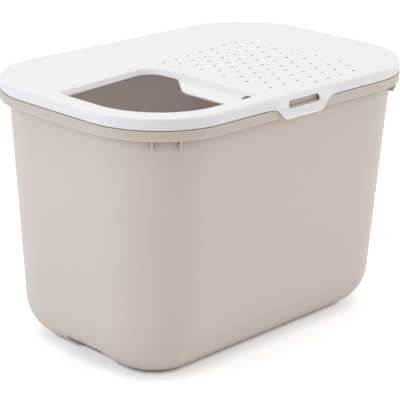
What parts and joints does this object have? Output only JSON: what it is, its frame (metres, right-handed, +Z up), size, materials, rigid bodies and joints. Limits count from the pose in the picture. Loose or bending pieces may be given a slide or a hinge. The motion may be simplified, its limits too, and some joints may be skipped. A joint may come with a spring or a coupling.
{
  "type": "top entry litter box",
  "caption": "Deep tub with a lift-off perforated lid, a top entry opening with a step, and snap clips on both long sides.",
  "frame": {"origin": "on the ground under the middle of the box", "axes": "+X along the long side, +Y from the front long side to the rear one, +Z up"},
  "size_m": [0.585, 0.398, 0.395],
  "materials": {
    "tub_plastic": "fine satin moulded polypropylene, warm beige",
    "lid_plastic": "fine satin moulded polypropylene, white"
  },
  "bodies": {
    "tub": {"tub": "tub_plastic"},
    "lid": {"lid": "lid_plastic"},
    "front_clip": {"front_clip": "lid_plastic"},
    "rear_clip": {"rear_clip": "lid_plastic"}
  },
  "joints": [
    {"name": "lid_lift", "type": "slide", "parent": "tub", "child": "lid", "axis": [0, 0, 1], "range_m": [0, 0.15]},
    {"name": "front_clip_flex", "type": "hinge", "parent": "lid", "child": "front_clip", "pos_m": [0, -0.1976, 0.37805], "axis": [-1, 0, 0], "range_deg": [0, 14], "stiffness_Nm_per_rad": 0.8},
    {"name": "rear_clip_flex", "type": "hinge", "parent": "lid", "child": "rear_clip", "pos_m": [0, 0.1976, 0.37805], "axis": [1, 0, 0], "range_deg": [0, 14], "stiffness_Nm_per_rad": 0.8}
  ]
}
